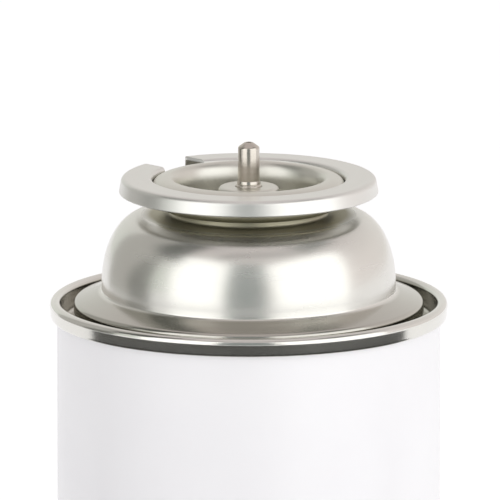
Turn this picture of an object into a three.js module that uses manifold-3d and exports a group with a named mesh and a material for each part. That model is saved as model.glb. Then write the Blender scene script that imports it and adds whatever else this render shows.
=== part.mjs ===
// A fuel canister: a straight steel can with a domed top, a notched guide collar and a push-down valve.
// Millimetres, +Z up along the can's axis, origin on the ground under the axis.
// +Y points through the middle of the collar's notch.

import * as THREE from 'three';
import { mergeVertices } from 'three/addons/utils/BufferGeometryUtils.js';
import Module from 'manifold-3d';

// Can wall and its fill
const canHeight = 158;            // over both seams
const bodyRadius = 32.87;         // outer face of the wall
const wallSheet = 0.22;
const fillTopDepth = 5.4;         // from the top seam's edge down to the fill

// Double seams
const endSheet = 0.38;            // sheet of both ends
const seamHeight = 3.1;
const seamFit = 0.1;              // clearance between the seam's layers
const seamCornerBend = 0.55;
const coverHookGap = 1.4;         // from the seam's edge to the tip of the cover hook
const bodyHookReach = 2.2;        // from the seam's edge to the tip of the body hook

// Top end
const grooveWidth = 2.56;         // between the centrelines of the groove's walls
const grooveDepth = 4.4;          // below the seam's edge
const shoulderWidth = 4.79;       // from the groove's inner wall to the dome's wall
const shoulderEdgeRise = -0.29;   // from the seam's edge to the shoulder's outer edge
const shoulderTopRise = 1.42;
const shoulderEdgeBend = 0.7;
const shoulderFillet = 0.7;
const domeSpringRise = 3;         // from the seam's edge to where the dome's curve starts
const domeHeight = 11.8;          // of the dome's curve
const crownWidth = 4;             // level ring between the mouth's curl and the dome's curve
const mouthCurlRadius = 14.3;     // of the curl's centre
const mouthCurlBead = 1.5;        // radius of the curl's own section
const mouthCurlRise = 2.8;        // of the curl's centre above the dome's crown
const mouthBend = 0.8;

// Bottom end
const footWallHeight = 6.4;       // from the ground to where the inward dome starts
const footBend = 1.6;
const footDomeHeight = 4.6;       // of the inward dome above its edge

// Guide collar
const collarRadius = 22.25;
const collarSheet = 0.6;
const collarDrop = 1.5;           // from the collar's flat top down to the clamped ring
const collarSkirt = 2.7;          // from the collar's flat top to the skirt's edge
const collarFlare = 0.45;         // how far the skirt leans out over its depth
const collarCornerBend = 0.55;
const collarStepBend = 0.45;
const collarStepGap = 0.15;       // between the collar's step and the cup's curl
const notchWidth = 9.4;
const notchMouthFillet = 1.6;

// Valve cup
const cupSheet = 0.3;
const cupCurlRadius = 16.4;       // outer edge of the cup's curl
const cupCurlHeight = 1.35;
const cupCrestRadius = 13.8;
const cupWallGap = 0.26;          // between the cup's wall and the mouth
const cupDepth = 8.8;             // from the crest to the well's floor
const cupClinch = 0.8;            // how far the wall is swaged out under the mouth's curl
const cupCornerBend = 0.7;
const pedestalRadius = 5.2;
const pedestalTopDrop = 1.65;     // from the cup's crest to the pedestal's top
const pedestalHoleGap = 0.2;      // round the stem
const pedestalCornerBend = 0.6;
const pedestalCrimp = 0.3;
const staticFit = 0.1;            // between pieces that are clamped or crimped together

// Stem and its gaskets
const stemRadius = 1.87;
const stemNeckRadius = 2.2;       // where the stem runs in its gasket
const stemReach = 7.6;            // from the pedestal's top to the stem's tip
const stemTipRadius = 0.75;       // at the small end of the tip's chamfer
const stemTipChamfer = 1;
const stemFlareDrop = 5.4;        // from the tip to where the stem starts to widen
const stemFlare = 0.1;
const stemNeckDrop = 7.5;         // from the tip to the neck's upper edge
const stemBoreRadius = 0.5;
const stemPortRadius = 0.35;
const stemFlangeRadius = 3.3;
const stemFlangeHeight = 1.5;
const springBossRadius = 1.6;
const springBossHeight = 1.6;
const runningFit = 0.08;          // between the stem's neck and its gasket
const stemGasketThickness = 1.1;
const cupGasketInset = 0.25;      // of the cup gasket from the curl's inner face

// Spring
const springWireRadius = 0.25;
const springRadius = 2.7;
const springTurns = 7;

// Housing and tube
const housingRadius = 4.3;
const housingHeadGap = 0.15;      // between the housing's head and the pedestal's wall
const housingHeadHeight = 2.2;
const housingCavityRadius = 3.7;
const housingCavityDepth = 8.7;
const housingFloor = 1.2;
const tailRadius = 1.3;
const tailLength = 4.7;
const tailBoreRadius = 0.5;
const tubeInnerRadius = 1.6;
const tubeOuterRadius = 2.2;
const tubeGrip = 4.4;             // length of tail inside the tube
const tubeBend = 4;
const tubeRunDrop = 2.2;          // from the seam's edge down to the middle of the tube's level run
const tubeEndGap = 4.6;           // from the groove's wall to the tube's open end

// Facets
const wideSegments = 36;
const narrowSegments = 18;
const bendStepDegrees = 45;
const curlStepDegrees = 36;
const domeStepDegrees = 15;
const tubeSides = 10;
const wireSides = 6;
const stepsPerTurn = 10;

// Heights that follow from the sizes above
const seamEdge = canHeight;
const crownTop = seamEdge + domeSpringRise + domeHeight;
const mouthCurlHeight = crownTop + mouthCurlRise;
const collarClampHeight = mouthCurlHeight + mouthCurlBead + staticFit + collarSheet / 2;
const collarTop = collarClampHeight + collarSheet / 2 + collarDrop;
const cupCurlEdge = collarClampHeight + collarSheet / 2 + 2 * staticFit;
const cupCrest = cupCurlEdge + cupCurlHeight;
const pedestalTop = cupCrest - pedestalTopDrop;
const stemGasketTop = pedestalTop - cupSheet - staticFit;
const stemGasketBottom = stemGasketTop - stemGasketThickness;
const stemTip = pedestalTop + stemReach;
const stemFlangeTop = stemGasketBottom - staticFit;
const stemFlangeBottom = stemFlangeTop - stemFlangeHeight;
const housingTop = stemGasketBottom - staticFit;
const housingCavityFloor = housingTop - housingCavityDepth;
const housingBottom = housingCavityFloor - housingFloor;

// Radii that follow from the sizes above
const wallCentreRadius = bodyRadius - wallSheet / 2;
const chuckWallRadius = bodyRadius - wallSheet - seamFit - endSheet / 2;
const coverHookRadius = bodyRadius + seamFit + endSheet / 2;
const bodyHookRadius = coverHookRadius + endSheet / 2 + seamFit + wallSheet / 2;
const seamWallRadius = bodyHookRadius + wallSheet / 2 + seamFit + endSheet / 2;
const mouthWallRadius = mouthCurlRadius - mouthCurlBead + endSheet / 2;
const cupWallRadius = mouthWallRadius - endSheet / 2 - cupWallGap - cupSheet / 2;
const stemGasketBore = stemNeckRadius + runningFit;
const pedestalHoleRadius = stemNeckRadius + pedestalHoleGap;
const collarStepRadius = cupCurlRadius + collarStepGap + collarSheet / 2;

const point = (radius, height) => new THREE.Vector2(radius, height);
const sameSpot = 1e-6;
const withoutRepeats = (places) => places.filter((place, i) => (
  i === 0 || place.distanceTo(places[i - 1]) > sameSpot
));

// Points along part of an ellipse, in the plane of radius and height.
function curve(centre, radiusAcross, radiusUp, fromDegrees, toDegrees, stepDegrees = curlStepDegrees) {
  const steps = Math.max(2, Math.ceil(Math.abs(toDegrees - fromDegrees) / stepDegrees));
  return Array.from({ length: steps + 1 }, (_, i) => {
    const angle = THREE.MathUtils.degToRad(fromDegrees + (toDegrees - fromDegrees) * i / steps);
    return point(centre.x + radiusAcross * Math.cos(angle), centre.y + radiusUp * Math.sin(angle));
  });
}

// A line through corners given as [radius, height, bend], each bend rounded off as an arc.
function bent(corners) {
  const places = corners.map(([radius, height]) => point(radius, height));
  const last = corners.length - 1;
  return corners.flatMap(([, , bend = 0], i) => {
    if (i === 0 || i === last || bend === 0) return [places[i]];
    const back = places[i - 1].clone().sub(places[i]);
    const ahead = places[i + 1].clone().sub(places[i]);
    const roomBack = back.length() * (corners[i - 1][2] ? 0.5 : 1);
    const roomAhead = ahead.length() * (corners[i + 1][2] ? 0.5 : 1);
    back.normalize();
    ahead.normalize();
    const turn = Math.PI - Math.acos(THREE.MathUtils.clamp(back.dot(ahead), -1, 1));
    const reach = Math.min(bend * Math.tan(turn / 2), roomBack, roomAhead);
    const start = places[i].clone().addScaledVector(back, reach);
    const end = places[i].clone().addScaledVector(ahead, reach);
    const radius = reach / Math.tan(turn / 2);
    const middle = back.clone().add(ahead).normalize();
    const centre = places[i].clone().addScaledVector(middle, Math.hypot(reach, radius));
    const steps = Math.max(2, Math.round(THREE.MathUtils.radToDeg(turn) / bendStepDegrees));
    const side = Math.sign(back.cross(ahead));
    return Array.from({ length: steps + 1 }, (_, k) => {
      if (k === 0) return start;
      if (k === steps) return end;
      return start.clone().rotateAround(centre, -side * turn * k / steps);
    });
  });
}

// The closed section of a sheet of even thickness along a centreline.
function sheetSection(centreline, thickness) {
  const places = withoutRepeats(centreline);
  const last = places.length - 1;
  const sides = [1, -1].map((side) => places.map((place, i) => {
    const before = i > 0 ? place.clone().sub(places[i - 1]).normalize() : null;
    const after = i < last ? places[i + 1].clone().sub(place).normalize() : null;
    const along = (before ?? after).clone().add(after ?? before).normalize();
    const across = point(-along.y, along.x);
    const leg = before ?? after;
    const mitre = across.dot(point(-leg.y, leg.x));
    return place.clone().addScaledVector(across, side * thickness / 2 / mitre);
  }));
  return [...sides[0], ...sides[1].reverse()];
}

// Turns a section round the can's axis. A section off the axis is closed on itself.
function turned(section, segments) {
  const places = withoutRepeats(section);
  const outline = THREE.ShapeUtils.area(places) > 0 ? places : [...places].reverse();
  const onAxis = section[0].x === 0 && section[section.length - 1].x === 0;
  if (!onAxis) outline.push(outline[0].clone());
  const geometry = new THREE.LatheGeometry(outline, segments);
  geometry.rotateX(Math.PI / 2);
  return geometry;
}

const wasm = await Module();
wasm.setup();

function toSolid(geometry) {
  const bare = geometry.clone();
  bare.deleteAttribute('normal');
  bare.deleteAttribute('uv');
  const merged = mergeVertices(bare, 1e-5);
  const index = merged.index.array;
  const triangles = [];
  for (let i = 0; i < index.length; i += 3) {
    const [a, b, c] = [index[i], index[i + 1], index[i + 2]];
    if (a !== b && b !== c && c !== a) triangles.push(a, b, c);
  }
  return new wasm.Manifold(new wasm.Mesh({
    numProp: 3,
    vertProperties: new Float32Array(merged.attributes.position.array),
    triVerts: new Uint32Array(triangles),
  }));
}

function toGeometry(solid) {
  const mesh = solid.getMesh();
  const geometry = new THREE.BufferGeometry();
  geometry.setAttribute('position', new THREE.BufferAttribute(mesh.vertProperties, 3));
  geometry.setIndex(new THREE.BufferAttribute(mesh.triVerts, 1));
  geometry.computeVertexNormals();
  return geometry;
}

// The end's own layers of a double seam, down from the seam's edge at height 0:
// cover hook, outer wall, rounded edge, then the inner wall that the section goes on from.
function seamCorners() {
  const hookBend = (seamWallRadius - coverHookRadius) / 2;
  return [
    [coverHookRadius, -coverHookGap],
    [coverHookRadius, -seamHeight + endSheet / 2, hookBend],
    [seamWallRadius, -seamHeight + endSheet / 2, hookBend],
    [seamWallRadius, -endSheet / 2, seamCornerBend],
    [chuckWallRadius, -endSheet / 2, seamCornerBend],
  ];
}

const raised = (height) => (place) => point(place.x, place.y + height);
const flipped = (place) => point(place.x, -place.y);

function topEnd() {
  const grooveFloor = -grooveDepth - endSheet / 2;
  const shoulderRadius = chuckWallRadius - grooveWidth;
  const domeWallRadius = shoulderRadius - shoulderWidth;
  const crownRadius = mouthCurlRadius + crownWidth;
  const beadBend = mouthCurlBead - endSheet / 2;
  const crownLevel = domeSpringRise + domeHeight - endSheet / 2;
  const curlLevel = domeSpringRise + domeHeight + mouthCurlRise;
  const centreline = [
    ...bent([
      ...seamCorners(),
      [chuckWallRadius, grooveFloor, grooveWidth / 2],
      [shoulderRadius, grooveFloor, grooveWidth / 2],
      [shoulderRadius, shoulderEdgeRise, shoulderEdgeBend],
      [domeWallRadius, shoulderTopRise, shoulderFillet],
      [domeWallRadius, domeSpringRise],
    ]),
    ...curve(
      point(crownRadius, domeSpringRise),
      domeWallRadius - crownRadius,
      domeHeight - endSheet / 2,
      0,
      90,
      domeStepDegrees,
    ).slice(1),
    ...bent([
      [crownRadius, crownLevel],
      [mouthWallRadius, crownLevel, mouthBend],
      [mouthWallRadius, curlLevel],
    ]).slice(1),
    ...curve(point(mouthCurlRadius, curlLevel), beadBend, beadBend, 180, -90).slice(1),
  ];
  return turned(sheetSection(centreline, endSheet).map(raised(seamEdge)), wideSegments);
}

// Height of the bottom end's inward dome above the ground, at a radius.
function footDomeHeightAt(radius) {
  const share = radius / (chuckWallRadius - footBend);
  return footWallHeight + footDomeHeight * (1 - share * share);
}

function footDome(raise, outerRadius) {
  const steps = 6;
  return Array.from({ length: steps + 1 }, (_, i) => {
    const radius = outerRadius * (1 - i / steps);
    return point(radius, footDomeHeightAt(radius) + raise);
  });
}

function bottomEnd() {
  const seam = bent([
    ...seamCorners(),
    [chuckWallRadius, -footWallHeight + footBend],
  ]).map(flipped);
  const domeEdge = chuckWallRadius - footBend;
  const corner = curve(point(domeEdge, footWallHeight - footBend), footBend, footBend, 0, 90).slice(1, -1);
  const centreline = [...seam, ...corner, ...footDome(0, domeEdge)];
  const section = sheetSection(centreline, endSheet);
  const onAxis = section.map((place) => (place.x < endSheet ? point(0, place.y) : place));
  const tip = onAxis.findIndex((place) => place.x === 0);
  return turned([...onAxis.slice(tip + 1), ...onAxis.slice(0, tip + 1)], wideSegments);
}

// The wall with its two seam hooks and the fill, as one closed can.
function canBody() {
  const hookBend = (bodyHookRadius - wallCentreRadius) / 2;
  const hookTop = -endSheet - seamFit - wallSheet / 2;
  const hook = bent([
    [wallCentreRadius, -fillTopDepth],
    [wallCentreRadius, hookTop, hookBend],
    [bodyHookRadius, hookTop, hookBend],
    [bodyHookRadius, -bodyHookReach],
  ]);
  const section = sheetSection(hook, wallSheet);
  const top = (section[0].x > section[section.length - 1].x ? section : [...section].reverse())
    .map(raised(seamEdge));
  const bottom = top.map((place) => point(place.x, canHeight - place.y)).reverse();
  const fillFoot = bodyRadius - wallSheet;
  const clearance = endSheet / 2 + 3 * staticFit;
  const foot = footDome(clearance, chuckWallRadius - footBend);
  return turned([
    point(0, seamEdge - fillTopDepth),
    ...[...top].reverse(),
    ...[...bottom].reverse(),
    point(fillFoot, footWallHeight + clearance),
    ...foot,
  ].reverse(), wideSegments);
}

function guideCollar() {
  const skirtRadius = collarRadius - collarSheet / 2;
  const flangeHeight = collarTop - collarSheet / 2;
  const ring = turned(sheetSection(bent([
    [skirtRadius, collarTop - collarSkirt],
    [skirtRadius - collarFlare, flangeHeight, collarCornerBend],
    [collarStepRadius, flangeHeight, collarStepBend],
    [collarStepRadius, collarClampHeight, collarStepBend],
    [mouthWallRadius, collarClampHeight],
  ]), collarSheet), wideSegments);

  const half = notchWidth / 2;
  const floorRadius = cupCurlRadius + collarStepGap / 2;
  const floorAngle = Math.asin(half / floorRadius);
  const mouth = Math.sqrt(collarRadius ** 2 - half ** 2);
  const beyond = collarRadius + notchMouthFillet;
  const outline = new THREE.Shape();
  outline.moveTo(half, Math.sqrt(floorRadius ** 2 - half ** 2));
  outline.lineTo(half, mouth - notchMouthFillet);
  outline.absarc(half + notchMouthFillet, mouth - notchMouthFillet, notchMouthFillet, Math.PI, Math.PI / 2, true);
  outline.lineTo(half + notchMouthFillet, beyond);
  outline.lineTo(-half - notchMouthFillet, beyond);
  outline.lineTo(-half - notchMouthFillet, mouth);
  outline.absarc(-half - notchMouthFillet, mouth - notchMouthFillet, notchMouthFillet, Math.PI / 2, 0, true);
  outline.lineTo(-half, Math.sqrt(floorRadius ** 2 - half ** 2));
  outline.absarc(0, 0, floorRadius, Math.PI / 2 + floorAngle, Math.PI / 2 - floorAngle, true);
  const depth = collarDrop + collarSkirt;
  const notch = new THREE.ExtrudeGeometry(outline, { depth, bevelEnabled: false, curveSegments: 4 });
  notch.translate(0, 0, collarTop - collarSkirt - collarDrop / 2);
  return toGeometry(toSolid(ring).subtract(toSolid(notch)));
}

// Half an oval, from the curl's outer edge over its crest to the cup's wall.
function cupCurl(inset) {
  const centre = point(cupCrestRadius, cupCurlEdge);
  const outward = cupCurlRadius - cupCrestRadius - inset;
  const inward = cupCrestRadius - cupWallRadius + cupSheet / 2 - inset;
  const height = cupCurlHeight - inset;
  return [
    ...curve(centre, outward, height, 0, 90),
    ...curve(centre, inward, height, 90, 180).slice(1),
  ];
}

function valveCup() {
  const floorHeight = cupCrest - cupDepth - cupSheet / 2;
  const clinchHeight = crownTop - endSheet - cupClinch / 2;
  const pedestalWall = pedestalRadius - cupSheet / 2;
  const crimpHeight = housingTop - housingHeadHeight - pedestalCrimp - staticFit;
  const centreline = [
    ...cupCurl(cupSheet / 2),
    ...bent([
      [cupWallRadius, cupCurlEdge],
      [cupWallRadius, clinchHeight + cupClinch * 1.5, cupCornerBend],
      [cupWallRadius + cupClinch, clinchHeight, cupCornerBend],
      [cupWallRadius, floorHeight, cupCornerBend],
      [pedestalWall, floorHeight, cupCornerBend],
      [pedestalWall, crimpHeight - 2 * pedestalCrimp],
      [pedestalWall - pedestalCrimp, crimpHeight],
      [pedestalWall, crimpHeight + 2 * pedestalCrimp],
      [pedestalWall, pedestalTop - cupSheet / 2, pedestalCornerBend],
      [pedestalHoleRadius, pedestalTop - cupSheet / 2],
    ]).slice(1),
  ];
  return turned(sheetSection(centreline, cupSheet), wideSegments);
}

function cupGasket() {
  return turned(cupCurl(cupSheet + cupGasketInset).map((place) => (
    point(place.x, Math.max(place.y, collarClampHeight + collarSheet / 2 + staticFit))
  )), wideSegments);
}

function stemGasket() {
  const outer = pedestalRadius - cupSheet - pedestalCornerBend / 2;
  return turned([
    point(stemGasketBore, stemGasketBottom),
    point(outer, stemGasketBottom),
    point(outer, stemGasketTop),
    point(stemGasketBore, stemGasketTop),
  ], narrowSegments);
}

function stem() {
  const boreFloor = stemGasketBottom + stemGasketThickness / 2 - stemPortRadius;
  const turnedStem = turned([
    point(0, stemFlangeBottom - springBossHeight),
    point(springBossRadius, stemFlangeBottom - springBossHeight),
    point(springBossRadius, stemFlangeBottom),
    point(stemFlangeRadius, stemFlangeBottom),
    point(stemFlangeRadius, stemFlangeTop),
    point(stemNeckRadius, stemFlangeTop),
    ...bent([
      [stemNeckRadius, stemFlangeTop],
      [stemNeckRadius, stemTip - stemNeckDrop, stemNeckRadius - stemRadius - stemFlare],
      [stemRadius + stemFlare, stemTip - stemNeckDrop],
    ]).slice(1),
    point(stemRadius, stemTip - stemFlareDrop),
    point(stemRadius, stemTip - stemTipChamfer),
    point(stemTipRadius, stemTip),
    point(stemBoreRadius, stemTip),
    point(stemBoreRadius, boreFloor),
    point(0, boreFloor),
  ], narrowSegments);
  const port = new THREE.CylinderGeometry(stemPortRadius, stemPortRadius, 4 * stemNeckRadius, 8);
  port.rotateZ(Math.PI / 2);
  port.translate(0, 0, stemGasketBottom + stemGasketThickness / 2);
  return toGeometry(toSolid(turnedStem).subtract(toSolid(port)));
}

class SpringLine extends THREE.Curve {
  constructor(bottom, top) {
    super();
    this.bottom = bottom;
    this.top = top;
  }

  getPoint(share, target = new THREE.Vector3()) {
    const angle = share * springTurns * 2 * Math.PI;
    const height = this.bottom + (this.top - this.bottom) * share;
    return target.set(springRadius * Math.cos(angle), springRadius * Math.sin(angle), height);
  }
}

function stemSpring() {
  const wire = new THREE.Shape();
  wire.absarc(0, 0, springWireRadius, 0, 2 * Math.PI);
  const clear = springWireRadius + staticFit;
  return new THREE.ExtrudeGeometry(wire, {
    extrudePath: new SpringLine(housingCavityFloor + clear, stemFlangeBottom - clear),
    steps: springTurns * stepsPerTurn,
    curveSegments: wireSides / 2,
  });
}

function valveHousing() {
  const headRadius = pedestalRadius - cupSheet - housingHeadGap;
  const headBottom = housingTop - housingHeadHeight;
  return turned([
    point(tailBoreRadius, housingBottom - tailLength),
    point(tailRadius, housingBottom - tailLength),
    point(tailRadius, housingBottom),
    point(housingRadius, housingBottom),
    point(housingRadius, headBottom),
    point(headRadius, headBottom),
    point(headRadius, housingTop),
    point(housingCavityRadius, housingTop),
    point(housingCavityRadius, housingCavityFloor),
    point(tailBoreRadius, housingCavityFloor),
  ], narrowSegments);
}

function vapourTube() {
  const top = housingBottom - (tailLength - tubeGrip);
  const run = seamEdge - tubeRunDrop;
  const turn = run + tubeBend;
  const reach = chuckWallRadius - grooveWidth - endSheet / 2 - tubeEndGap;
  const route = new THREE.CurvePath();
  const sideways = new THREE.Vector3(0, tubeBend, run);
  route.add(new THREE.LineCurve3(new THREE.Vector3(0, 0, top), new THREE.Vector3(0, 0, turn)));
  route.add(new THREE.QuadraticBezierCurve3(
    new THREE.Vector3(0, 0, turn),
    new THREE.Vector3(0, 0, run),
    sideways,
  ));
  route.add(new THREE.LineCurve3(sideways, new THREE.Vector3(0, reach, run)));
  const section = new THREE.Shape();
  section.absarc(0, 0, tubeOuterRadius, 0, 2 * Math.PI);
  const bore = new THREE.Path();
  bore.absarc(0, 0, tubeInnerRadius, 0, 2 * Math.PI, true);
  section.holes.push(bore);
  return new THREE.ExtrudeGeometry(section, { extrudePath: route, steps: 16, curveSegments: tubeSides / 2 });
}

function finish(colour, roughness, metalness) {
  return new THREE.MeshStandardMaterial({ color: colour, roughness, metalness });
}

const whiteLacquer = finish(0xf0eef1, 0.35, 0);
const tinplate = finish(0xc9c5c0, 0.28, 1);
const mattTinplate = finish(0xc8c6c0, 0.45, 1);
const nickel = finish(0xcfc6b8, 0.18, 1);
const blackRubber = finish(0x2a2a2a, 0.8, 0);
const palePlastic = finish(0xe6e2d6, 0.5, 0);
const springSteel = finish(0xb8b8b8, 0.35, 1);

const pieces = [
  ['can_body', canBody(), whiteLacquer],
  ['top_end', topEnd(), tinplate],
  ['bottom_end', bottomEnd(), tinplate],
  ['guide_collar', guideCollar(), mattTinplate],
  ['valve_cup', valveCup(), tinplate],
  ['cup_gasket', cupGasket(), blackRubber],
  ['stem', stem(), nickel],
  ['stem_gasket', stemGasket(), blackRubber],
  ['stem_spring', stemSpring(), springSteel],
  ['valve_housing', valveHousing(), palePlastic],
  ['vapour_tube', vapourTube(), palePlastic],
];

const canister = new THREE.Group();
for (const [name, geometry, material] of pieces) {
  const mesh = new THREE.Mesh(geometry, material);
  mesh.name = name;
  canister.add(mesh);
}

export default canister;
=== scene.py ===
"""A steel fuel canister: a white can with bright tinplate ends, a notched collar and a push-down valve."""
import math
import bpy
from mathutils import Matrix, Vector


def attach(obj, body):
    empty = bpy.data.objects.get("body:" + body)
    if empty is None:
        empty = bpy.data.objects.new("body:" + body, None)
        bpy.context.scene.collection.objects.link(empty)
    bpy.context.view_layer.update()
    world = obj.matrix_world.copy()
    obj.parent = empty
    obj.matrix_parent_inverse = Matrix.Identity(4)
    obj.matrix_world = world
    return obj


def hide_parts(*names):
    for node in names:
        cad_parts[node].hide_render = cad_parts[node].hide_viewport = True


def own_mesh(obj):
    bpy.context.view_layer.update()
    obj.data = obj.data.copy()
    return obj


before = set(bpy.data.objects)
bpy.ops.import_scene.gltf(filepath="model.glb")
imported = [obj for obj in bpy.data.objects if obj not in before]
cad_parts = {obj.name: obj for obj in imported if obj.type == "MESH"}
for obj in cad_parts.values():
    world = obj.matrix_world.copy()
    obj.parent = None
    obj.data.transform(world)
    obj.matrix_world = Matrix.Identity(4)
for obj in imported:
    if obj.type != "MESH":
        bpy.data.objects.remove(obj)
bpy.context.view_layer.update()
MM = 0.001

# Camera
# The view is of the top of the can, from a little above and well round to the left of the notch.
# A long lens stands two metres away, so the can's sides stay upright.
view_turn = math.radians(-43.8)
view_rise = math.radians(11.6)
view_distance = 2.0
view_width = 85.6 * MM
aim_height = 166.5 * MM
aim_right = 0.22 * MM
sensor_width = 36.0

to_right = Vector((math.cos(view_turn), math.sin(view_turn), 0))
to_camera = Vector((
    math.sin(view_turn) * math.cos(view_rise),
    -math.cos(view_turn) * math.cos(view_rise),
    math.sin(view_rise),
))
aim = to_right * aim_right + Vector((0, 0, aim_height))
camera = bpy.data.objects.new("camera", bpy.data.cameras.new("camera"))
camera.data.sensor_width = sensor_width
camera.data.lens = sensor_width * view_distance / view_width
camera.data.clip_end = 40
camera.location = aim + to_camera * view_distance
camera.rotation_euler = to_camera.to_track_quat("Z", "Y").to_euler()
bpy.context.collection.objects.link(camera)
bpy.context.scene.camera = camera

# Studio
# A pale floor in a soft white room, with a large soft box on either side of the camera.
# The metal sees the boxes, the room's walls and some plain dark cards, which shine on nothing else.
floor_radius = 9.0
floor_sides = 48
floor_colour = (0.86, 0.86, 0.86)
floor_glow = 0.55
room_radius = 6.0
room_light = (0.99, 0.97, 1.0)
room_strength = 0.5
wall_left = (0.76, 0.8, 0.75)
wall_right = (0.92, 0.86, 0.85)
ceiling = (0.72, 0.67, 0.67)
box_distance = 0.75
box_lift = math.radians(15.5)
box_height = 0.81
left_box_turn, left_box_width, left_box_power = math.radians(-42), 0.62, 0.6
right_box_turn, right_box_width, right_box_power = math.radians(52), 0.98, 2.2
box_glow = 1.6
floor_flag_radius = 0.62
floor_flag_spread = 100
floor_flag_lift = 0.002


def around(turn, rise, distance):
    """A place at that turn right of the camera and that rise, seen from the top of the can."""
    heading = view_turn + turn
    level = math.cos(rise) * distance
    height = aim_height + math.sin(rise) * distance
    return Vector((math.sin(heading) * level, -math.cos(heading) * level, height))


def emitter(name, colour, strength):
    material = bpy.data.materials.new(name)
    material.use_nodes = True
    nodes = material.node_tree.nodes
    nodes.clear()
    glow = nodes.new("ShaderNodeEmission")
    glow.inputs["Color"].default_value = (*colour, 1)
    glow.inputs["Strength"].default_value = strength
    out = nodes.new("ShaderNodeOutputMaterial")
    material.node_tree.links.new(glow.outputs[0], out.inputs["Surface"])
    return material


def soft_box(name, turn, width, power):
    data = bpy.data.lights.new(name, "AREA")
    data.shape = "RECTANGLE"
    data.size = width
    data.size_y = box_height
    data.energy = power
    light = bpy.data.objects.new(name, data)
    light.location = around(turn, box_lift, box_distance)
    facing = light.location - Vector((0, 0, aim_height))
    light.rotation_euler = facing.to_track_quat("Z", "Y").to_euler()
    light.visible_camera = False
    light.visible_glossy = False
    bpy.context.collection.objects.link(light)
    across = Vector((math.cos(view_turn + turn), math.sin(view_turn + turn), 0)) * (width / 2)
    upward = facing.cross(across).normalized() * (box_height / 2)
    corners = [light.location + across * a + upward * b for a, b in ((-1, -1), (1, -1), (1, 1), (-1, 1))]
    card(name + "_face", corners, (1, 1, 1), box_glow)


def card(name, corners, colour, strength):
    """A flat card that only shows in glossy surfaces."""
    mesh = bpy.data.meshes.new(name)
    mesh.from_pydata([tuple(c) for c in corners], [], [tuple(range(len(corners)))])
    mesh.materials.append(emitter(name, colour, strength))
    plain = bpy.data.objects.new(name, mesh)
    bpy.context.collection.objects.link(plain)
    only_in_gloss(plain)


def only_in_gloss(thing):
    thing.visible_camera = False
    thing.visible_diffuse = False
    thing.visible_shadow = False
    thing.visible_transmission = False


def standing_card(name, turns, rises, distance, colour, strength):
    low, high = (math.radians(r) for r in rises)
    left, right = (math.radians(t) for t in turns)
    card(name, [
        around(left, low, distance), around(right, low, distance),
        around(right, high, distance), around(left, high, distance),
    ], colour, strength)


floor_mesh = bpy.data.meshes.new("floor")
floor_angles = [2 * math.pi * i / floor_sides for i in range(floor_sides)]
floor_mesh.from_pydata(
    [(floor_radius * math.cos(a), floor_radius * math.sin(a), 0) for a in floor_angles],
    [], [tuple(range(floor_sides))],
)
floor = bpy.data.objects.new("floor", floor_mesh)
bpy.context.collection.objects.link(floor)
pale = bpy.data.materials.new("pale_floor")
pale.use_nodes = True
pale_shader = pale.node_tree.nodes["Principled BSDF"]
pale_shader.inputs["Base Color"].default_value = (*floor_colour, 1)
pale_shader.inputs["Roughness"].default_value = 0.9
pale_shader.inputs["Emission Color"].default_value = (1, 1, 1, 1)
pale_shader.inputs["Emission Strength"].default_value = floor_glow
floor_mesh.materials.append(pale)

world = bpy.data.worlds.new("soft_room")
world.use_nodes = True
bpy.context.scene.world = world
world.node_tree.nodes["Background"].inputs["Color"].default_value = (*room_light, 1)
world.node_tree.nodes["Background"].inputs["Strength"].default_value = room_strength


def room_shell():
    """The walls and ceiling that the metal sees, warmer on the right and darker overhead."""
    fade_low, fade_high = 0.25, 0.85
    material = emitter("room_wall", (1, 1, 1), 1.0)
    nodes, links = material.node_tree.nodes, material.node_tree.links
    parts = nodes.new("ShaderNodeSeparateXYZ")
    links.new(nodes.new("ShaderNodeTexCoord").outputs["Generated"], parts.inputs[0])
    sides = nodes.new("ShaderNodeValToRGB")
    sides.color_ramp.elements[0].color = (*wall_left, 1)
    sides.color_ramp.elements[1].color = (*wall_right, 1)
    links.new(parts.outputs["X"], sides.inputs["Fac"])
    rise = nodes.new("ShaderNodeMapRange")
    rise.inputs["From Min"].default_value = fade_low
    rise.inputs["From Max"].default_value = fade_high
    links.new(parts.outputs["Z"], rise.inputs["Value"])
    blend = nodes.new("ShaderNodeMix")
    blend.data_type = "RGBA"
    blend.inputs["B"].default_value = (*ceiling, 1)
    links.new(rise.outputs["Result"], blend.inputs["Factor"])
    links.new(sides.outputs["Color"], blend.inputs["A"])
    links.new(blend.outputs["Result"], nodes["Emission"].inputs["Color"])
    rings, turns = 9, 36
    verts = [(0, 0, room_radius)]
    for i in range(1, rings + 1):
        rise_angle = math.pi / 2 * (1 - i / rings)
        for k in range(turns):
            a = 2 * math.pi * k / turns
            level = room_radius * math.cos(rise_angle)
            verts.append((level * math.cos(a), level * math.sin(a), room_radius * math.sin(rise_angle)))
    faces = [(0, 1 + k, 1 + (k + 1) % turns) for k in range(turns)]
    for i in range(rings - 1):
        for k in range(turns):
            low, n = 1 + i * turns, (k + 1) % turns
            faces.append((low + k, low + turns + k, low + turns + n, low + n))
    mesh = bpy.data.meshes.new("room_shell")
    mesh.from_pydata(verts, [], faces)
    mesh.materials.append(material)
    shell = bpy.data.objects.new("room_shell", mesh)
    shell.rotation_euler = (0, 0, view_turn)
    bpy.context.collection.objects.link(shell)
    only_in_gloss(shell)


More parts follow.
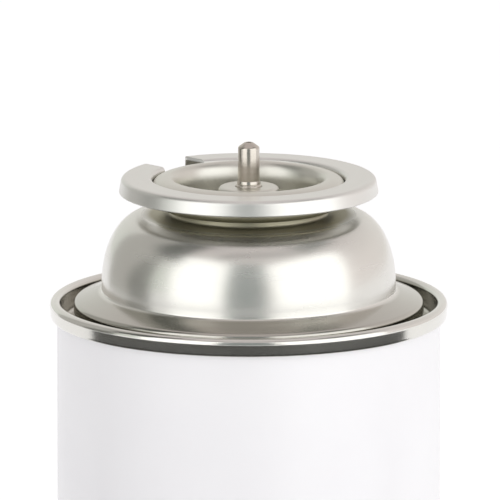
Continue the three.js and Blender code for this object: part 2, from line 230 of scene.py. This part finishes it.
room_shell()
soft_box("left_box", left_box_turn, left_box_width, left_box_power)
soft_box("right_box", right_box_turn, right_box_width, right_box_power)
dark_cards = [
    # Name, turns right of the camera and rises over the can's top in degrees, distance, colour, strength
    ("camera_gap", (-17, 14), (-13, 41), 0.9, (0.92, 1.0, 1.0), 0.34),
    ("over_gap", (-34, 50), (46, 56), 0.9, (1.0, 0.97, 0.96), 0.36),
    ("left_shade", (-140, -88), (-13, 58), 0.95, (1.0, 0.98, 0.94), 0.5),
    ("left_flag", (-108, -82), (-13, 30), 0.8, (1.0, 1.0, 0.94), 0.24),
    ("left_upper_flag", (-104, -64), (30, 70), 0.8, (0.95, 1.0, 0.94), 0.12),
    ("right_upper_flag", (60, 114), (46, 64), 0.8, (0.97, 1.0, 0.97), 0.3),
]
for dark_card in dark_cards:
    standing_card(*dark_card)
flag_turns = range(-floor_flag_spread, floor_flag_spread + 1, 10)
front_floor = [around(math.radians(t), 0, floor_flag_radius) for t in flag_turns]
card("floor_flag", [Vector((p.x, p.y, floor_flag_lift)) for p in front_floor], (1.0, 1.0, 0.95), 0.07)
bpy.context.scene.view_settings.view_transform = "Standard"

# Can wall
# A sheet of steel rolled into a tube and welded down the back, with white lacquer on the outside.
# Both its ends are flanged out and hooked into the double seams.
segments_round = 240
crease = math.radians(40)
wall_radius = 32.87
wall_sheet = 0.22
end_sheet = 0.38
seam_fit = 0.1
seam_height = 3.1
seam_corner = 0.85
can_height = 158.0
fill_top_depth = 5.4
body_hook_reach = 2.2
fill_clear = 0.3
merge_gap = 1e-5
wall_mid = wall_radius - wall_sheet / 2
chuck_wall = wall_radius - wall_sheet - seam_fit - end_sheet / 2
cover_hook = wall_radius + seam_fit + end_sheet / 2
body_hook = cover_hook + end_sheet / 2 + seam_fit + wall_sheet / 2
seam_wall = body_hook + wall_sheet / 2 + seam_fit + end_sheet / 2


def oval(centre, across, up, start, end, step=7.5):
    """Points along part of an ellipse in the plane of radius and height."""
    count = max(2, math.ceil(abs(end - start) / step))
    angles = [math.radians(start + (end - start) * i / count) for i in range(count + 1)]
    return [Vector((centre[0] + across * math.cos(a), centre[1] + up * math.sin(a))) for a in angles]


def bent(corners, step=11.25):
    """A line through corners (radius, height, bend), with each bend rounded off."""
    places = [Vector(c[:2]) for c in corners]
    bends = [c[2] if len(c) > 2 else 0 for c in corners]
    line = []
    for i, place in enumerate(places):
        if i in (0, len(places) - 1) or not bends[i]:
            line.append(place)
            continue
        back, ahead = places[i - 1] - place, places[i + 1] - place
        room = min(back.length * (0.5 if bends[i - 1] else 1), ahead.length * (0.5 if bends[i + 1] else 1))
        back.normalize()
        ahead.normalize()
        turn = math.pi - back.angle(ahead)
        reach = min(bends[i] * math.tan(turn / 2), room)
        radius = reach / math.tan(turn / 2)
        centre = place + (back + ahead).normalized() * math.hypot(reach, radius)
        start, end = place + back * reach - centre, place + ahead * reach - centre
        count = max(2, round(math.degrees(turn) / step))
        for k in range(count + 1):
            line.append(centre + start.slerp(end, k / count) * radius)
    return line


def apart(line):
    return [p for i, p in enumerate(line) if i == 0 or (p - line[i - 1]).length > merge_gap]


def held(line, reach=0.08, long=1.4):
    """The line with a point close to both ends of each long straight, so that its face shades flat."""
    points = [line[0]]
    for start, end in zip(line, line[1:]):
        length = (end - start).length
        if length > long:
            points += [start.lerp(end, reach / length), end.lerp(start, reach / length)]
        points.append(end)
    return points


def sheet(line, thickness, round_start=True, round_end=True):
    """The closed section of a sheet along a line, with its cut ends eased."""
    line = apart(line)
    ease = thickness / 4
    if round_start:
        line[0] = line[0] + (line[1] - line[0]).normalized() * ease
    if round_end:
        line[-1] = line[-1] + (line[-2] - line[-1]).normalized() * ease
    line = held(line)
    sides = ([], [])
    for i, place in enumerate(line):
        before = (place - line[i - 1]).normalized() if i else None
        after = (line[i + 1] - place).normalized() if i < len(line) - 1 else None
        along = ((before or after) + (after or before)).normalized()
        across = Vector((-along.y, along.x))
        leg = before or after
        half = thickness / 2 / across.dot(Vector((-leg.y, leg.x)))
        sides[0].append(place + across * half)
        sides[1].append(place - across * half)
    section = list(sides[0])
    if round_end:
        section += end_cap(line[-1], (line[-1] - line[-2]).normalized(), thickness, ease)
    section += reversed(sides[1])
    if round_start:
        section += end_cap(line[0], (line[0] - line[1]).normalized(), thickness, ease)
    return section


def end_cap(place, outward, thickness, ease):
    across = Vector((-outward.y, outward.x)) * (thickness / 2)
    return [
        place + across * math.cos(a) + outward * (ease * math.sin(a))
        for a in (math.radians(d) for d in (30, 60, 90, 120, 150))
    ]


def spin(name, section, segments=segments_round):
    """A section in millimetres turned round the can's axis, as a smooth closed mesh in metres."""
    section = apart(section)
    on_axis = abs(section[0].x) < 1e-6 and abs(section[-1].x) < 1e-6
    area = sum(a.x * b.y - b.x * a.y for a, b in zip(section, section[1:] + section[:1]))
    if area < 0:
        section.reverse()
    rings, verts = [], []
    for place in section:
        if abs(place.x) < 1e-6:
            rings.append([len(verts)] * segments)
            verts.append((0, 0, place.y * MM))
            continue
        rings.append(list(range(len(verts), len(verts) + segments)))
        for k in range(segments):
            a = 2 * math.pi * k / segments
            verts.append((place.x * math.sin(a) * MM, -place.x * math.cos(a) * MM, place.y * MM))
    faces = []
    last = len(rings) - 1 if on_axis else len(rings)
    for i in range(last):
        low, high = rings[i], rings[(i + 1) % len(rings)]
        for k in range(segments):
            n = (k + 1) % segments
            face = [low[k], low[n], high[n], high[k]]
            face = [v for j, v in enumerate(face) if v != face[j - 1]]
            faces.append(face)
    mesh = bpy.data.meshes.new(name)
    mesh.from_pydata(verts, [], faces)
    piece = bpy.data.objects.new(name, mesh)
    bpy.context.collection.objects.link(piece)
    mesh.shade_smooth()
    mesh.set_sharp_from_angle(angle=crease)
    return piece


def fit(piece, node, body, material):
    """The piece stands for that node, moves with that body and takes that finish."""
    piece.data.materials.append(material)
    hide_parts(node)
    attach(piece, body)


class Shader:
    """A material's node tree, with short calls for the nodes used here."""

    def __init__(self, name, **sockets):
        self.material = bpy.data.materials.new(name)
        self.material.use_nodes = True
        self.nodes = self.material.node_tree.nodes
        self.links = self.material.node_tree.links
        self.surface = self.nodes["Principled BSDF"]
        for socket, value in sockets.items():
            self.surface.inputs[socket.replace("_", " ")].default_value = value
        self.place = self.nodes.new("ShaderNodeTexCoord").outputs["Object"]

    def set(self, socket, source):
        self.links.new(source, self.surface.inputs[socket])

    def math(self, operation, a, b=0.0):
        node = self.nodes.new("ShaderNodeMath")
        node.operation = operation
        for socket, value in zip(node.inputs, (a, b)):
            if isinstance(value, (int, float)):
                socket.default_value = value
            else:
                self.links.new(value, socket)
        return node.outputs[0]

    def noise(self, scale, detail=3.0, place=None):
        node = self.nodes.new("ShaderNodeTexNoise")
        node.inputs["Scale"].default_value = scale
        node.inputs["Detail"].default_value = detail
        self.links.new(place or self.place, node.inputs["Vector"])
        return node.outputs["Fac"]

    def ramp(self, source, stops):
        node = self.nodes.new("ShaderNodeValToRGB")
        ramp = node.color_ramp
        while len(ramp.elements) < len(stops):
            ramp.elements.new(0.5)
        for element, (position, colour) in zip(ramp.elements, stops):
            element.position = position
            element.color = (*colour, 1)
        self.links.new(source, node.inputs["Fac"])
        return node.outputs["Color"]

    def range(self, source, low, high, from_low=0.0, from_high=1.0):
        node = self.nodes.new("ShaderNodeMapRange")
        node.inputs["From Min"].default_value = from_low
        node.inputs["From Max"].default_value = from_high
        node.inputs["To Min"].default_value = low
        node.inputs["To Max"].default_value = high
        self.links.new(source, node.inputs["Value"])
        return node.outputs["Result"]

    def round_axis(self):
        """Radius, turn and height about the can's axis, as three outputs."""
        parts = self.nodes.new("ShaderNodeSeparateXYZ")
        self.links.new(self.place, parts.inputs[0])
        x, y, z = parts.outputs
        square = self.math("ADD", self.math("MULTIPLY", x, x), self.math("MULTIPLY", y, y))
        return self.math("SQRT", square), self.math("ARCTAN2", x, y), z

    def joined(self, x, y, z):
        node = self.nodes.new("ShaderNodeCombineXYZ")
        for socket, source in zip(node.inputs, (x, y, z)):
            self.links.new(source, socket)
        return node.outputs[0]

    def bump(self, source, distance, strength=1.0, under=None):
        node = self.nodes.new("ShaderNodeBump")
        node.inputs["Distance"].default_value = distance
        node.inputs["Strength"].default_value = strength
        self.links.new(source, node.inputs["Height"])
        if under:
            self.links.new(under, node.inputs["Normal"])
        return node.outputs["Normal"]


def white_lacquer():
    coat = Shader("white_lacquer", Roughness=0.34, Coat_Weight=0.25, Coat_Roughness=0.12)
    white = [(0.3, (0.865, 0.86, 0.868)), (0.7, (0.885, 0.882, 0.887))]
    coat.set("Base Color", coat.ramp(coat.noise(60, 4), white))
    coat.set("Roughness", coat.range(coat.noise(900, 2), 0.3, 0.4, 0.3, 0.7))
    coat.set("Normal", coat.bump(coat.noise(420, 2), 0.00002, 0.35))
    return coat.material


def body_hook_line():
    bend = (body_hook - wall_mid) / 2
    top = -end_sheet - seam_fit - wall_sheet / 2
    return bent([
        (wall_mid, -fill_top_depth), (wall_mid, top, bend),
        (body_hook, top, bend), (body_hook, -body_hook_reach),
    ])


top_hook = sheet(body_hook_line(), wall_sheet, round_start=False)
inner_first = top_hook if top_hook[0].x < top_hook[-1].x else top_hook[::-1]
wall_top = [Vector((p.x, p.y + can_height)) for p in inner_first]
wall_foot = [Vector((p.x, can_height - p.y)) for p in reversed(wall_top)]
foot_wall_height = 6.4
foot_bend = 1.6
foot_dome_height = 4.6
dome_edge = chuck_wall - foot_bend


def foot_dome(lift, steps=24):
    """The inward dome of the base, from its edge to the axis."""
    line = []
    for i in range(steps + 1):
        share = 1 - i / steps
        height = foot_wall_height + foot_dome_height * (1 - share ** 2)
        line.append(Vector((dome_edge * share, height + lift)))
    return line


fill_lift = end_sheet / 2 + fill_clear
can = spin("can_wall", [
    Vector((0, can_height - fill_top_depth)), *wall_top, *wall_foot,
    Vector((wall_radius - wall_sheet, foot_wall_height + fill_lift)), *foot_dome(fill_lift),
])
fit(can, "can_body", "root", white_lacquer())

# Ends of the can
# Each end is one stamping of bright tinplate, and its rim is rolled together with the wall's flange.
# The top one goes down into a groove, up over a shoulder and a dome, and ends in a curl round the mouth.
cover_hook_gap = 1.4
seam_lean = 0.2
groove_width = 2.56
groove_depth = 4.4
shoulder_width = 4.79
shoulder_top_rise = 1.42
shoulder_fillet = 0.7
shoulder_edge_drop = 0.29
shoulder_corner = 0.7
dome_spring = 3.0
dome_height = 11.8
crown_width = 4.0
mouth_radius = 14.3
mouth_bead = 1.5
mouth_rise = 2.8
neck_corner = 0.8
neck_shade_share = 0.75
shade_overlap = 0.4
grain = 900
grain_round = 2.5
# Painted shade: an olive for the groove and the shoulder, and a darker, yellower one for the neck under the
# collar.
groove_shade_colour = (0.52, 0.508, 0.46)
neck_shade_colour = (0.5, 0.475, 0.36)
shade_fade = 0.0006
neck_fade_out = 0.0012
seam_fade_in = 0.0002
seam_fade_out = 0.0001


def tinplate(name, roughness, colour=(0.745, 0.735, 0.69), neck=None, shoulder_edge=None):
    """Bright tin over steel. The neck under the collar, the shoulder and the groove are painted dull olive:
    painted shade and painted reflection from the hollows around them.
    """
    metal = Shader(name, Metallic=1.0, Roughness=roughness)
    radius, turn, height = metal.round_axis()
    drawn = metal.noise(1.0, 2, metal.joined(
        metal.math("MULTIPLY", radius, grain),
        metal.math("MULTIPLY", turn, grain_round),
        metal.math("MULTIPLY", height, grain),
    ))
    cloud = metal.noise(55, 4)
    low = tuple(c * 0.965 for c in colour)
    tint = metal.ramp(cloud, [(0.3, low), (0.7, colour)])
    worn = metal.math("ADD", metal.math("MULTIPLY", drawn, 0.35), metal.math("MULTIPLY", cloud, 0.65))
    sheen = metal.range(worn, roughness * 0.86, roughness * 1.14, 0.3, 0.7)
    # Painted shade: the neck under the collar, the shoulder and the groove are mixed toward olive.
    if neck:
        polish = metal.range(radius, 1.0, 0.6, shoulder_edge, shoulder_edge + shade_fade)
        sheen = metal.math("MULTIPLY", sheen, polish)
        at_neck = metal.range(radius, 1.0, 0.0, neck - shade_fade, neck + neck_fade_out)
        past_dome = metal.range(radius, 0.0, 1.0, shoulder_edge, shoulder_edge + shade_fade)
        seam_foot = chuck_wall * MM
        before_seam = metal.range(radius, 1.0, 0.0, seam_foot - seam_fade_in, seam_foot + seam_fade_out)
        inside = metal.math("MAXIMUM", at_neck, metal.math("MULTIPLY", past_dome, before_seam))
        # The mix that paints the shade into the tin's colour.
        shade_mix = metal.nodes.new("ShaderNodeMix")
        shade_mix.data_type = "RGBA"
        shade_tint = metal.ramp(at_neck, [(0.0, groove_shade_colour), (1.0, neck_shade_colour)])
        metal.links.new(shade_tint, shade_mix.inputs["B"])
        metal.links.new(inside, shade_mix.inputs["Factor"])
        metal.links.new(tint, shade_mix.inputs["A"])
        tint = shade_mix.outputs["Result"]
        sheen = metal.math("ADD", sheen, metal.math("MULTIPLY", at_neck, 0.2))
    metal.set("Base Color", tint)
    metal.set("Roughness", sheen)
    soft = metal.bump(metal.noise(26, 2), 0.00045, 0.25)
    metal.set("Normal", metal.bump(drawn, 0.000012, 0.04, soft))
    return metal.material


def seam_rim():
    """The rolled rim of an end, whose outer face leans in a little at its foot."""
    hook_bend = (seam_wall - cover_hook) / 2
    return [
        (cover_hook, -cover_hook_gap),
        (cover_hook, -seam_height + end_sheet / 2, hook_bend),
        (seam_wall - seam_lean, -seam_height + end_sheet / 2, hook_bend),
        (seam_wall, -end_sheet / 2, seam_corner),
        (chuck_wall, -end_sheet / 2, seam_corner),
    ]


def top_end_line():
    groove_floor = -groove_depth - end_sheet / 2
    shoulder = chuck_wall - groove_width
    dome_wall = shoulder - shoulder_width
    crown = mouth_radius + crown_width
    crown_level = dome_spring + dome_height - end_sheet / 2
    riser = mouth_radius - mouth_bead + end_sheet / 2
    bead = mouth_bead - end_sheet / 2
    curl_level = dome_spring + dome_height + mouth_rise
    return (
        bent(seam_rim() + [
            (chuck_wall, groove_floor, groove_width / 2),
            (shoulder, groove_floor, groove_width / 2),
            (shoulder, -shoulder_edge_drop, shoulder_corner),
            (dome_wall, shoulder_top_rise, shoulder_fillet),
            (dome_wall, dome_spring),
        ])
        + oval((crown, dome_spring), dome_wall - crown, dome_height - end_sheet / 2, 0, 90, 3.75)[1:]
        + bent([(crown, crown_level), (riser, crown_level, neck_corner), (riser, curl_level)])[1:]
        + oval((mouth_radius, curl_level), bead, bead, 180, -90)[1:]
    )


bright_tin = tinplate("bright_tinplate", 0.26)
# Radii where the painted shade of the neck ends and where that of the shoulder and groove begins.
neck_edge = mouth_radius + crown_width * neck_shade_share
shade_edge = chuck_wall - groove_width - shoulder_width + shade_overlap
necked_tin = tinplate("necked_tinplate", 0.26, neck=neck_edge * MM, shoulder_edge=shade_edge * MM)
top_section = sheet(top_end_line(), end_sheet)
top = spin("top_stamping", [Vector((p.x, p.y + can_height)) for p in top_section])
fit(top, "top_end", "root", necked_tin)

foot_line = [Vector((p.x, -p.y)) for p in bent(seam_rim() + [(chuck_wall, -foot_wall_height + foot_bend)])]
foot_corner = oval((dome_edge, foot_wall_height - foot_bend), foot_bend, foot_bend, 0, 90)[1:-1]
foot_section = sheet(foot_line + foot_corner + foot_dome(0), end_sheet, round_end=False)
foot_section = [Vector((0, p.y)) if p.x < end_sheet / 2 else p for p in foot_section]
tip = next(i for i, p in enumerate(foot_section) if p.x == 0)
foot = spin("base_stamping", foot_section[tip + 1:] + foot_section[:tip + 1])
fit(foot, "bottom_end", "root", bright_tin)

# Guide collar
# A flanged ring pressed from heavier tinplate, whose inner edge is trapped under the cup's curl.
# Its notch is punched out, and takes the key that turns the can the right way round.
collar_radius = 22.25
collar_sheet = 0.6
collar_drop = 1.5
collar_skirt = 2.7
collar_flare = 0.45
collar_corner = 0.55
collar_step_corner = 0.45
collar_step_gap = 0.15
cup_curl_radius = 16.4
static_fit = 0.1
notch_width = 9.4
notch_mouth = 1.6
notch_ease = 0.07
cutter_past = 3
cutter_over = 1
crown_top = can_height + dome_spring + dome_height
mouth_top = crown_top + mouth_rise + mouth_bead
clamp_level = mouth_top + static_fit + collar_sheet / 2
collar_top = clamp_level + collar_sheet / 2 + collar_drop
collar_step = cup_curl_radius + collar_step_gap + collar_sheet / 2
mouth_wall = mouth_radius - mouth_bead + end_sheet / 2


def notch_cutter():
    half = notch_width / 2
    floor_radius = cup_curl_radius + collar_step_gap / 2
    floor_angle = math.degrees(math.asin(half / floor_radius))
    mouth = math.sqrt(collar_radius ** 2 - half ** 2)
    side = half + notch_mouth
    plan = oval((0, 0), floor_radius, floor_radius, 90 + floor_angle, 90 - floor_angle, 3)
    plan += oval((side, mouth - notch_mouth), notch_mouth, notch_mouth, 180, 90)
    plan += [Vector((side, collar_radius + cutter_past)), Vector((-side, collar_radius + cutter_past))]
    plan += oval((-side, mouth - notch_mouth), notch_mouth, notch_mouth, 90, 0)
    plan = apart(plan)
    low, high = (collar_top - collar_skirt - cutter_over) * MM, (collar_top + cutter_over) * MM
    count = len(plan)
    verts = [(p.x * MM, p.y * MM, z) for z in (low, high) for p in plan]
    faces = [tuple(range(count - 1, -1, -1)), tuple(range(count, 2 * count))]
    faces += [(i, (i + 1) % count, count + (i + 1) % count, count + i) for i in range(count)]
    mesh = bpy.data.meshes.new("notch")
    mesh.from_pydata(verts, [], faces)
    cutter = bpy.data.objects.new("notch", mesh)
    bpy.context.collection.objects.link(cutter)
    return cutter


def cut(piece, cutter):
    modifier = piece.modifiers.new("cut", "BOOLEAN")
    modifier.operation = "DIFFERENCE"
    modifier.solver = "EXACT"
    modifier.object = cutter
    ease = piece.modifiers.new("ease", "BEVEL")
    ease.width = notch_ease * MM
    ease.segments = 2
    ease.limit_method = "ANGLE"
    ease.angle_limit = math.radians(60)
    graph = bpy.context.evaluated_depsgraph_get()
    mesh = bpy.data.meshes.new_from_object(piece.evaluated_get(graph))
    piece.modifiers.clear()
    piece.data = mesh
    bpy.data.objects.remove(cutter)
    mesh.shade_smooth()
    mesh.set_sharp_from_angle(angle=crease)


collar = spin("collar_ring", sheet(bent([
    (collar_radius - collar_sheet / 2, collar_top - collar_skirt),
    (collar_radius - collar_flare - collar_sheet / 2, collar_top - collar_sheet / 2, collar_corner),
    (collar_step, collar_top - collar_sheet / 2, collar_step_corner),
    (collar_step, clamp_level, collar_step_corner),
    (mouth_wall, clamp_level),
]), collar_sheet))
cut(collar, notch_cutter())
fit(collar, "guide_collar", "root", tinplate("satin_tinplate", 0.36, (0.77, 0.765, 0.73)))

# Valve cup
# A pressed cup that closes the mouth: its curl sits over the collar, and its wall is swaged out under the
# mouth. The pedestal in the middle is crimped round the valve's housing.
cup_sheet = 0.3
cup_curl_height = 1.35
cup_crest_radius = 13.8
cup_depth = 8.8
cup_lip_drop = 1.9
cup_clinch = 0.8
cup_corner = 0.7
cup_slack = 0.26
pedestal_radius = 5.2
pedestal_drop = 1.65
pedestal_hole = 2.28
pedestal_crimp = 0.3
pedestal_corner = 0.6
crimp_corner = 0.4
crimp_height = 173.5
cup_wall = mouth_wall - end_sheet / 2 - cup_slack - cup_sheet / 2
curl_edge = clamp_level + collar_sheet / 2 + 2 * static_fit
cup_crest = curl_edge + cup_curl_height
pedestal_top = cup_crest - pedestal_drop


def cup_line():
    inset = cup_sheet / 2
    rise = cup_curl_height - inset
    floor_level = cup_crest - cup_depth - inset
    clinch = crown_top - end_sheet - cup_clinch / 2
    post = pedestal_radius - inset
    lip_foot = curl_edge - cup_lip_drop
    lip_across = cup_crest_radius - cup_wall
    return (
        oval((cup_crest_radius, curl_edge), cup_curl_radius - cup_crest_radius - inset, rise, 0, 90)
        + oval((cup_crest_radius, lip_foot), lip_across, rise + cup_lip_drop, 90, 180)[1:]
        + bent([
            (cup_wall, lip_foot),
            (cup_wall, clinch + cup_clinch * 1.5, cup_corner),
            (cup_wall + cup_clinch, clinch, cup_corner),
            (cup_wall, floor_level, cup_corner),
            (post, floor_level, cup_corner),
            (post, crimp_height - 2 * pedestal_crimp, crimp_corner),
            (post - pedestal_crimp, crimp_height, crimp_corner),
            (post, crimp_height + 2 * pedestal_crimp, crimp_corner),
            (post, pedestal_top - inset, pedestal_corner),
            (pedestal_hole, pedestal_top - inset),
        ])[1:]
    )


cup = spin("cup_pressing", sheet(cup_line(), cup_sheet))
fit(cup, "valve_cup", "root", tinplate("cup_tinplate", 0.34, (0.7, 0.69, 0.63)))

# Stem
# A turned brass tube with a bright nickel plate. It stands up through the pedestal and is pushed down to
# open the valve. Its neck runs in a rubber disc, and a spring under the flange at its foot sends it back.
stem_radius = 1.87
stem_neck = 2.2
stem_reach = 7.6
stem_tip = pedestal_top + stem_reach
stem_bore = 0.5
bore_edge = 0.05
stem_chamfer = 0.8
chamfer_bend = 0.6
stem_tip_radius = 0.75
tip_bend = 0.5
shaft_length = 4.6
shaft_blend = 3.0
foot_step = 0.15
foot_step_bend = 0.2
bulge_top = stem_tip - 6.6
bulge_drop = 0.55
bulge_bend = 0.5
bulge_top_bend = 0.25
flare = 0.12
flange_top = 176.1
flange_height = 1.5
flange_radius = 3.3
flange_foot = flange_top - flange_height
tail_radius = 1.6
tail_length = 1.6
tail_edge = 0.2
bore_floor = 176.4
turned_edge = 0.15


def nickel():
    metal = Shader("bright_nickel", Metallic=1.0, Roughness=0.16)
    radius, turn, height = metal.round_axis()
    turned = metal.noise(1.0, 2, metal.joined(
        metal.math("MULTIPLY", radius, 6000),
        metal.math("MULTIPLY", turn, 2),
        metal.math("MULTIPLY", height, 9000),
    ))
    plate = [(0.3, (0.57, 0.53, 0.47)), (0.7, (0.61, 0.57, 0.51))]
    metal.set("Base Color", metal.ramp(metal.noise(300, 3), plate))
    metal.set("Roughness", metal.range(turned, 0.12, 0.22, 0.3, 0.7))
    metal.set("Normal", metal.bump(turned, 0.00001, 0.4))
    return metal.material


stem = spin("valve_pin", bent([
    (0, flange_foot - tail_length),
    (tail_radius, flange_foot - tail_length, tail_edge),
    (tail_radius, flange_foot),
    (flange_radius, flange_foot, turned_edge),
    (flange_radius, flange_top, turned_edge),
    (stem_neck, flange_top),
    (stem_neck, pedestal_top + foot_step, turned_edge),
    (stem_radius + flare, pedestal_top + 2 * foot_step, foot_step_bend),
    (stem_radius + flare * 1.5, bulge_top - bulge_drop, bulge_bend),
    (stem_radius + flare / 3, bulge_top, bulge_top_bend),
    (stem_radius, stem_tip - shaft_length, shaft_blend),
    (stem_radius, stem_tip - stem_chamfer, chamfer_bend),
    (stem_tip_radius, stem_tip, tip_bend),
    (stem_bore, stem_tip, bore_edge),
    (stem_bore, bore_floor),
    (0, bore_floor),
]), 96)
fit(stem, "stem", "valve_stem", nickel())

# Hidden valve parts
# The rubber seals, the spring, the moulded housing and its bent tube lie inside the cup and under the dome.
# The spring is coiled from hard wire and shortens as the stem goes down. The others keep their plain forms.
spring_floor = 167.4
spring_turns = 7
spring_radius = 2.7
wire_radius = 0.25
wire_sides = 12
steps_per_turn = 28
spring_gap = 0.1


def rubber():
    material = Shader("black_rubber", Roughness=0.8)
    black = [(0.3, (0.02, 0.02, 0.02)), (0.7, (0.045, 0.045, 0.045))]
    material.set("Base Color", material.ramp(material.noise(400), black))
    material.set("Normal", material.bump(material.noise(2500, 2), 0.00001, 0.4))
    return material.material


def moulded_plastic():
    material = Shader("pale_plastic", Roughness=0.5, Subsurface_Weight=0.1)
    cream = [(0.3, (0.84, 0.81, 0.74)), (0.7, (0.87, 0.85, 0.79))]
    material.set("Base Color", material.ramp(material.noise(80), cream))
    material.set("Normal", material.bump(material.noise(1500, 2), 0.00001, 0.3))
    return material.material


def spring_wire():
    material = Shader("spring_wire", Metallic=1.0, Roughness=0.3)
    grey = [(0.3, (0.5, 0.5, 0.5)), (0.7, (0.62, 0.62, 0.61))]
    material.set("Base Color", material.ramp(material.noise(500), grey))
    return material.material


def coil(name, low, high):
    steps, sides = spring_turns * steps_per_turn, wire_sides
    verts = []
    for i in range(steps + 1):
        angle = 2 * math.pi * spring_turns * i / steps
        outward = Vector((math.cos(angle), math.sin(angle), 0))
        middle = outward * spring_radius + Vector((0, 0, low + (high - low) * i / steps))
        for k in range(sides):
            a = 2 * math.pi * k / sides
            upward = Vector((0, 0, wire_radius * math.sin(a)))
            verts.append((middle + outward * (wire_radius * math.cos(a)) + upward) * MM)
    faces = [tuple(range(sides)), tuple(range(len(verts) - 1, len(verts) - 1 - sides, -1))]
    for i in range(steps):
        for k in range(sides):
            here, n = i * sides, (k + 1) % sides
            faces.append((here + k, here + sides + k, here + sides + n, here + n))
    mesh = bpy.data.meshes.new(name)
    mesh.from_pydata([tuple(v) for v in verts], [], faces)
    mesh.shade_smooth()
    mesh.set_sharp_from_angle(angle=math.radians(50))
    wire = bpy.data.objects.new(name, mesh)
    bpy.context.collection.objects.link(wire)
    return wire


wire_clear = wire_radius + spring_gap
spring = coil("return_spring", spring_floor + wire_clear, flange_foot - wire_clear)
fit(spring, "stem_spring", "root", spring_wire())
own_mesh(spring)

finishes = {
    "cup_gasket": rubber(), "stem_gasket": rubber(),
    "valve_housing": moulded_plastic(), "vapour_tube": moulded_plastic(),
}
for node, material in finishes.items():
    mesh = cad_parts[node].data
    mesh.materials.clear()
    mesh.materials.append(material)
